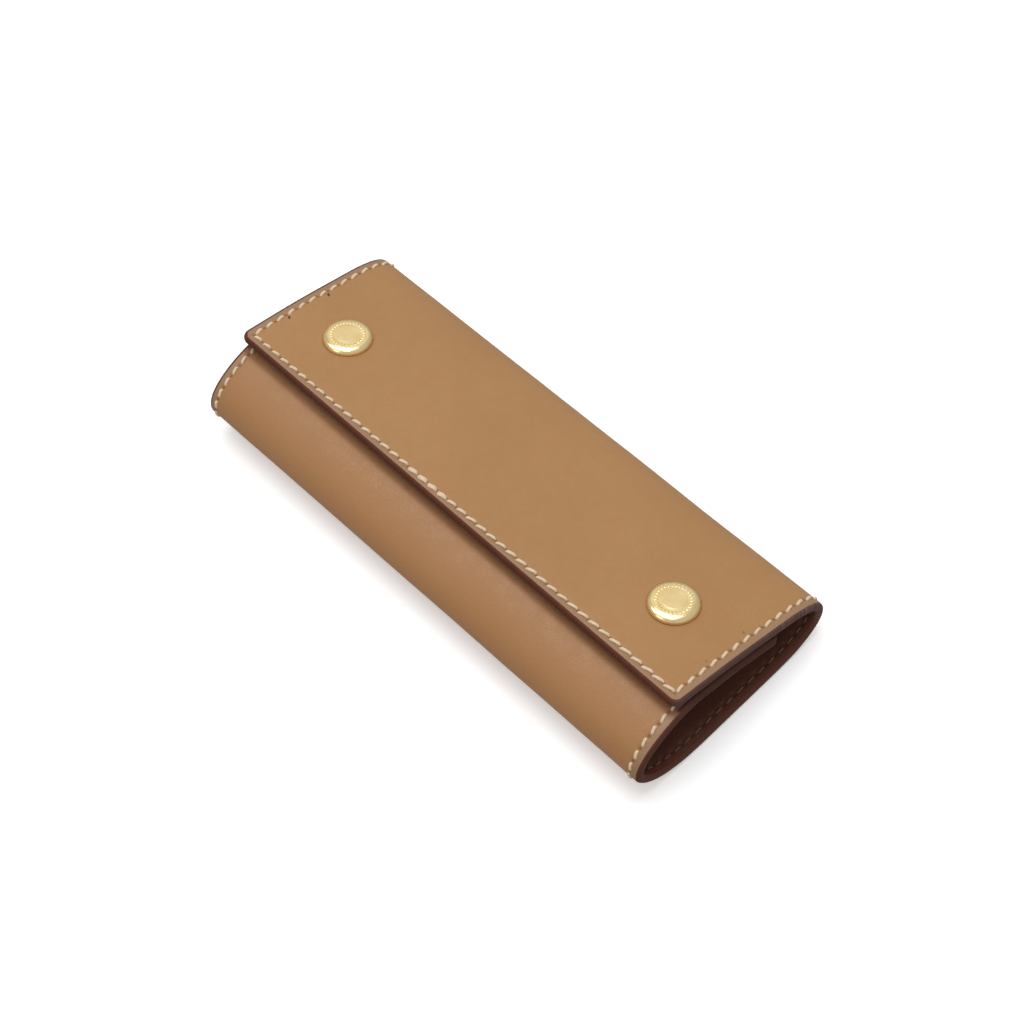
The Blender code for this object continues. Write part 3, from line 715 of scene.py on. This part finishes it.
class Plan:
    """One half of the strip in plan: e is the distance from its free edge, up to the split."""

    def __init__(self, reach):
        half = CASE_LENGTH / 2 - GRID_MARGIN
        self.columns = split_evenly(-half, half, GRID_STEP_X)
        self.rows = split_evenly(GRID_MARGIN, reach, GRID_STEP_S)
        self.ring_rows = denser(self.rows)
        self.ring_columns = denser(self.columns)

    def contour(self, inset):
        """Points at one inset: up the left side, along the free edge and down the right side."""
        radius = max(CORNER_RADIUS - inset, SMALLEST_CORNER)
        side = CASE_LENGTH / 2 - inset
        middle_x, middle_e = side - radius, inset + radius
        turns = [math.pi / 2 * k / CORNER_STEPS for k in range(CORNER_STEPS + 1)]
        arc = [(middle_x + radius * math.cos(a), middle_e - radius * math.sin(a)) for a in turns]
        shares = [k / BRIDGE_STEPS for k in range(1, BRIDGE_STEPS)]
        down = [(side, self.rows[0] + (middle_e - self.rows[0]) * k) for k in shares]
        across = [(middle_x + (self.columns[-1] - middle_x) * k, inset) for k in shares]
        corner = down + arc + across
        right = [(side, e) for e in self.ring_rows]
        top = [(x, inset) for x in self.ring_columns]
        left = [(-x, e) for x, e in right[::-1]]
        left_corner = [(-x, e) for x, e in corner]
        return left + left_corner + top + corner[::-1] + right

    def landmarks(self):
        """Places in a contour of its first top point and its first right-side point."""
        corner = 2 * (BRIDGE_STEPS - 1) + CORNER_STEPS + 1
        top = len(self.ring_rows) + corner
        return top, top + len(self.ring_columns) + corner

    def fill(self, ring, cells):
        """The grid's faces, and those that join it to the denser points of a ring."""
        top, right = self.landmarks()
        rows, columns = len(self.rows), len(self.columns)
        made = []
        for j in range(rows - 1):
            for i in range(columns - 1):
                made.append((cells[j][i], cells[j][i + 1], cells[j + 1][i + 1], cells[j + 1][i]))
            first = RING_DENSITY * (rows - 2 - j)
            side_run = ring[first:first + RING_DENSITY + 1]
            made.append((*side_run, cells[j][0], cells[j + 1][0]))
            first = right + RING_DENSITY * j
            side_run = ring[first:first + RING_DENSITY + 1]
            made.append((*side_run, cells[j + 1][-1], cells[j][-1]))
        for i in range(columns - 1):
            first = top + RING_DENSITY * i
            made.append((*ring[first:first + RING_DENSITY + 1], cells[0][i + 1], cells[0][i]))
        left_end = RING_DENSITY * (rows - 1)
        made.append((*ring[left_end:top + 1], cells[0][0]))
        top_end = top + RING_DENSITY * (columns - 1)
        made.append((*ring[top_end:right + 1], cells[0][-1]))
        return made


def edge_section(turns):
    """(inset, depth) of the painted edge at each turn round it."""
    half = WALL / 2
    section = []
    for turn in turns:
        a = math.radians(turn)
        reach = abs(math.cos(a)) ** (2 / EDGE_POWER)
        inset = EDGE_ROUND * (1 - math.sin(a) ** (2 / EDGE_POWER))
        section.append((inset, half * (1 - math.copysign(reach, math.cos(a)))))
    return section


def surface_wave(x, s):
    """Slow hand-made unevenness of the leather, in millimetres."""
    return sum(height * noise.noise(Vector((x / long_x, s / long_s, offset)))
               for height, long_x, long_s, offset in WAVES)


class Ply:
    """One ply of one half of the strip: its points in plan, and what its materials read at each."""

    def __init__(self, half, side):
        self.half = half
        self.outer = side == "outer"
        self.plan = Plan(END - SPLIT if half == "front" else SPLIT)
        self.face_depth, self.inward = (0.0, 1.0) if self.outer else (WALL, -1.0)
        self.points, self.insets, self.pits, self.ends = [], [], [], []

    def put(self, x, e, depth, inset, on_face):
        """Adds a point and returns its index; one on the face has the grooves, holes and waves."""
        s = END - e if self.half == "front" else e
        pit = 0.0
        if on_face:
            settle = min(1.0, inset / EDGE_ROUND)
            pit = pit_at(x, s) if abs(inset - STITCH_INSET) < PIT_REACH else 0.0
            depth += self.inward * (GROOVE_DEPTH * seam_groove(x, s) + PIT_DEPTH * pit)
            press = press_depth(x, s, self.half, self.outer)
            wave = surface_wave(x, s) * min(1.0, inset / WAVE_INSET) * (abs(s - SPLIT) > FLAT_REACH)
            depth += self.inward * (press + (settle * wave if press == 0.0 else 0.0))
        self.points.append((x, s, depth))
        self.insets.append(inset)
        self.pits.append(pit)
        self.ends.append(float(abs(x) > CASE_LENGTH / 2 - END_REACH))
        return len(self.points) - 1

    def ring(self, inset, depth, on_face):
        return [self.put(x, e, depth, inset, on_face) for x, e in self.plan.contour(inset)]

    def grid(self, depth, on_face):
        columns, rows = self.plan.columns, self.plan.rows
        return [[self.put(x, e, depth, GRID_MARGIN, on_face) for x in columns] for e in rows]

    def painted(self, turn, point):
        """Whether the edge is painted at a turn; at the left end the paint reaches the face."""
        return turn > (PAINT_FROM_TURN if self.points[point][0] > LEFT_EDGE else -1)


def strip_faces(a, b):
    """The faces between two rings of as many points."""
    return [(a[k], a[k + 1], b[k + 1], b[k]) for k in range(len(a) - 1)]


def ply_object(name, half, side):
    """One ply of one half of the strip, closed, with its rounded painted edge."""
    ply = Ply(half, side)
    turns = (SEAM_TURN, *reversed(OUTER_TURNS if ply.outer else INNER_TURNS))
    section = edge_section(turns)
    section[0] = (section[0][0], SEAM)
    edge = [ply.ring(inset, depth, False) for inset, depth in section[:-1]]
    edge.append(ply.ring(*section[-1], True))
    rim = [ply.ring(inset, ply.face_depth, True) for inset in RING_INSETS]
    grid = ply.grid(ply.face_depth, True)
    hidden_ring = ply.ring(RING_INSETS[-1], SEAM, False)
    hidden_grid = ply.grid(SEAM, False)

    faces, looks = [], []
    for turn, a, b in zip(turns[1:], edge, edge[1:]):
        faces += strip_faces(a, b)
        looks += [int(ply.painted(turn, point)) for point in a[:-1]]
    for a, b in zip([edge[-1], *rim], rim):
        faces += strip_faces(a, b)
    faces += ply.plan.fill(rim[-1], grid)
    faces += ply.plan.fill(hidden_ring, hidden_grid) + strip_faces(edge[0], hidden_ring)
    loops = edge + rim
    border = [loop[0] for loop in loops] + grid[-1] + [loop[-1] for loop in reversed(loops)]
    hidden_border = [hidden_ring[-1], *reversed(hidden_grid[-1]), hidden_ring[0]]
    faces.append(tuple(border + hidden_border))
    looks += [0] * (len(faces) - len(looks))

    face_look = "tan" if ply.outer else "lining"
    made = new_object(name, on_strip(ply.points), faces, (face_look, "edge"), looks)
    tidy_normals(made)
    write_plan(made, [(x, s) for x, s, _ in ply.points])
    write_attribute(made, "inset", ply.insets)
    write_attribute(made, "pit", ply.pits)
    write_attribute(made, "end", ply.ends)
    return made


# Stitches


def stitch_length(x, heading):
    """Stitches are pulled shorter at the left of an edge than at its right, and at the ends."""
    if heading:
        return STITCH_LENGTH["end"]
    share = 0.5 + x / CASE_LENGTH
    return STITCH_LENGTH["left"] + (STITCH_LENGTH["right"] - STITCH_LENGTH["left"]) * share


def stitches_of(half, outer):
    """One half's stitches, with the few that lock the flap's thread sewn twice."""
    chosen = [stitch for stitch in STITCHES if (stitch[1] > SPLIT) == (half == "front")]
    if not outer:
        return chosen
    locked = [(x + LOCK_SHIFT, s - LOCK_SHIFT, heading) for x, s, heading in chosen
              if s == FREE_EDGE_INSET and LOCK_FROM < x < LOCK_TO]
    return chosen + locked


def thread_points(turn, length, radius, phase):
    """Rings of (x, s, height over the face) round a twisted thread that dives at both ends."""
    along, across = (math.cos(turn), math.sin(turn)), (-math.sin(turn), math.cos(turn))
    for i in range(THREAD_STEPS + 1):
        t = -math.cos(math.pi * i / THREAD_STEPS)
        rise = THREAD_LIFT - THREAD_DIVE * t ** 4
        girth = radius * (1 - THREAD_TAPER * abs(t) ** 5)
        for k in range(THREAD_SIDES):
            a = math.tau * k / THREAD_SIDES
            lobe = girth * (1 + PLY_RELIEF * math.cos(2 * a + phase + PLY_TWIST * t))
            forward = t * length / 2
            sideways = lobe * THREAD_SQUASH[0] * math.cos(a)
            up = rise + lobe * THREAD_SQUASH[1] * math.sin(a)
            yield (along[0] * forward + across[0] * sideways,
                   along[1] * forward + across[1] * sideways, up)


def thread_faces(first):
    """The faces of a thread whose points start at an index, with both ends closed."""
    faces = []
    for i in range(THREAD_STEPS):
        a, b = first + i * THREAD_SIDES, first + (i + 1) * THREAD_SIDES
        for k in range(THREAD_SIDES):
            onward = (k + 1) % THREAD_SIDES
            faces.append((a + k, a + onward, b + onward, b + k))
    faces.append(tuple(range(first + THREAD_SIDES - 1, first - 1, -1)))
    last = first + THREAD_STEPS * THREAD_SIDES
    faces.append(tuple(range(last, last + THREAD_SIDES)))
    return faces


def stitch_object(name, half, side, look):
    """All of one half's stitches on one face of the strip."""
    outer = side == "outer"
    face, away = (0.0, -1.0) if outer else (WALL, 1.0)
    slant = STITCH_SLANT if outer else LINING_SLANT
    thread_radius = THREAD_RADIUS if outer else LINING_THREAD_RADIUS
    points, faces = [], []
    for x, s, heading in stitches_of(half, outer):
        if heading and not outer:
            x += math.copysign(LINING_SHIFT, x)
        turn = heading + slant + math.radians(random.uniform(-SLANT_SPREAD, SLANT_SPREAD))
        length = stitch_length(x, heading) * random.uniform(*LENGTH_SPREAD)
        radius = thread_radius * random.uniform(*RADIUS_SPREAD)
        phase = random.uniform(0.0, math.tau)
        faces += thread_faces(len(points))
        for dx, ds, up in thread_points(turn, length, radius, phase):
            points.append((x + dx, s + ds, face + away * up))
    placed = on_strip(points)
    if outer:
        placed[:, 2] = np.maximum(placed[:, 2], GROUND_GAP * MM)
    made = new_object(name, placed, faces, (look,))
    tidy_normals(made, sharp_degrees=70)
    write_plan(made, [(x, s) for x, s, _ in points])
    return made


# Press-stud caps


def cap_section():
    """(radius, height) of the cap and its post, from the middle of one to that of the other."""
    top = CAP_HEIGHT + CAP_CLEARANCE
    face = [(radius, top - depth) for radius, depth in CAP_FACE]
    under = [(CAP_RIM, CAP_CLEARANCE), (POST_RADIUS, CAP_CLEARANCE)]
    return face + under + [(POST_RADIUS, POST_BOTTOM), (0.0, POST_BOTTOM)]


def lathe(bm, section, segments):
    """A surface turned about the z axis; a point on the axis becomes a single vertex."""
    turns = [math.tau * k / segments for k in range(segments)]
    previous = None
    for radius, z in section:
        places = [(radius * math.cos(a), radius * math.sin(a), z) for a in turns]
        verts = [bm.verts.new(place) for place in (places if radius else places[:1])]
        if previous:
            for k in range(segments):
                corner = [previous[k % len(previous)], previous[(k + 1) % len(previous)],
                          verts[(k + 1) % len(verts)], verts[k % len(verts)]]
                bm.faces.new([v for i, v in enumerate(corner) if v not in corner[:i]])
        previous = verts


def cap_object(name, x):
    """A low gilt cap with a plain ring and a border of short radial ticks."""
    at, outward = frame_on_strip(STUD_SETBACK + math.copysign(CAP_TURN, x))
    bm = bmesh.new()
    lathe(bm, cap_section(), CAP_SEGMENTS)
    place = Matrix.Translation((TICK_RADIUS, 0.0, CAP_HEIGHT + CAP_CLEARANCE - TICK_DEPTH))
    shape = Matrix.Diagonal((*TICK_HALF_SIZE, 1.0))
    for k in range(CAP_TICKS):
        tick = Matrix.Rotation(math.tau * k / CAP_TICKS, 4, "Z") @ place @ shape
        bmesh.ops.create_icosphere(bm, subdivisions=2, radius=1.0, matrix=tick)
    bmesh.ops.recalc_face_normals(bm, faces=bm.faces)
    bmesh.ops.scale(bm, vec=(MM, MM, MM), verts=bm.verts)
    made = object_from_bmesh(bm, name, "gold")
    made.data.shade_smooth()
    made.data.set_sharp_from_angle(angle=math.radians(40))
    tilt = Matrix.Rotation(-math.atan2(outward.x, outward.y), 4, "X")
    made.matrix_world = Matrix.Translation(Vector((x + CAP_DRIFT, at.x, at.y)) * MM) @ tilt
    return made


# Camera and light


def aim_camera():
    right = CAMERA_RIGHT.normalized()
    back = right.cross(CAMERA_UP).normalized()
    up = back.cross(right)
    camera = bpy.data.objects.new("camera", bpy.data.cameras.new("camera"))
    camera.data.lens = LENS
    camera.data.sensor_width = SENSOR
    camera.data.clip_start = 0.01
    camera.matrix_world = Matrix((right, up, back)).transposed().to_4x4()
    camera.location = CAMERA_AT
    bpy.context.scene.collection.objects.link(camera)
    bpy.context.scene.camera = camera


def area_light(name, where, target, size, watts, diffuse):
    data = bpy.data.lights.new(name, "AREA")
    data.shape = "RECTANGLE"
    data.size, data.size_y = size
    data.energy = watts
    light = bpy.data.objects.new(name, data)
    light.location = where
    light.rotation_euler = (Vector(target) - Vector(where)).to_track_quat("-Z", "Y").to_euler()
    light.visible_diffuse = diffuse
    bpy.context.scene.collection.objects.link(light)


def light_world():
    """A soft white surround, darker below the horizon."""
    world = bpy.data.worlds.new("studio")
    world.use_nodes = True
    tree = world.node_tree
    direction = tree.nodes.new("ShaderNodeTexCoord")
    split = tree.nodes.new("ShaderNodeSeparateXYZ")
    ramp = tree.nodes.new("ShaderNodeMapRange")
    tree.links.new(direction.outputs["Generated"], split.inputs[0])
    tree.links.new(split.outputs["Z"], ramp.inputs["Value"])
    ramp.inputs["From Min"].default_value, ramp.inputs["From Max"].default_value = SURROUND_FADE
    ramp.inputs["To Min"].default_value = SURROUND_BELOW
    ramp.inputs["To Max"].default_value = SURROUND_ABOVE
    background = tree.nodes["Background"]
    background.inputs["Color"].default_value = (1.0, 1.0, 1.0, 1.0)
    tree.links.new(ramp.outputs["Result"], background.inputs["Strength"])
    bpy.context.scene.world = world


def light_scene():
    light_world()
    for lamp in LAMPS:
        area_light(*lamp)
    bpy.context.scene.view_settings.view_transform = "Standard"


def lay_floor():
    """A pale floor under the case, seen only by the camera."""
    bm = bmesh.new()
    bmesh.ops.create_grid(bm, x_segments=24, y_segments=24, size=FLOOR_SIZE)
    floor = object_from_bmesh(bm, "floor", "floor")
    floor.visible_diffuse = False
    floor.visible_glossy = False
    floor.visible_shadow = False


# The case


# Each half's flap, whose CAD leather, lining and thread that half's pieces replace
FLAP_OF_HALF = {"rear": "top_flap", "front": "inner_flap"}


def build_halves():
    for half in ("rear", "front"):
        flap = FLAP_OF_HALF[half]
        leather = ply_object(f"{half}_leather", half, "outer")
        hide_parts(f"{flap}_leather", "back_panel_leather")
        lining = ply_object(f"{half}_lining", half, "inner")
        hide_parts(f"{flap}_lining", "back_panel_lining")
        outside = stitch_object(f"{half}_stitches", half, "outer", "thread")
        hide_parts(f"{flap}_thread")
        inside = stitch_object(f"{half}_lining_stitches", half, "inner", "inner_thread")
        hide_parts("back_thread_left", "back_thread_right")
        slots = {leather: "leather", lining: "lining", outside: "thread", inside: "thread"}
        for piece, slot in slots.items():
            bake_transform(piece)


def build_caps():
    for side, sign in (("left", -1), ("right", 1)):
        cap = cap_object(f"{side}_cap", sign * STUD_SPACING / 2)
        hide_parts(f"{side}_snap_cap")
        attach(cap, "top_flap")


def dress_metal():
    """Gives every CAD metal part its procedural finish."""
    for name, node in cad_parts.items():
        if node.hide_render:
            continue
        steel = "spring" in name or "gate" in name
        node.data.materials.clear()
        node.data.materials.append(LOOKS["steel" if steel else "gold"])
        node.data.shade_smooth()
        node.data.set_sharp_from_angle(angle=math.radians(35))


build_halves()
build_caps()
dress_metal()
lay_floor()
light_scene()
aim_camera()
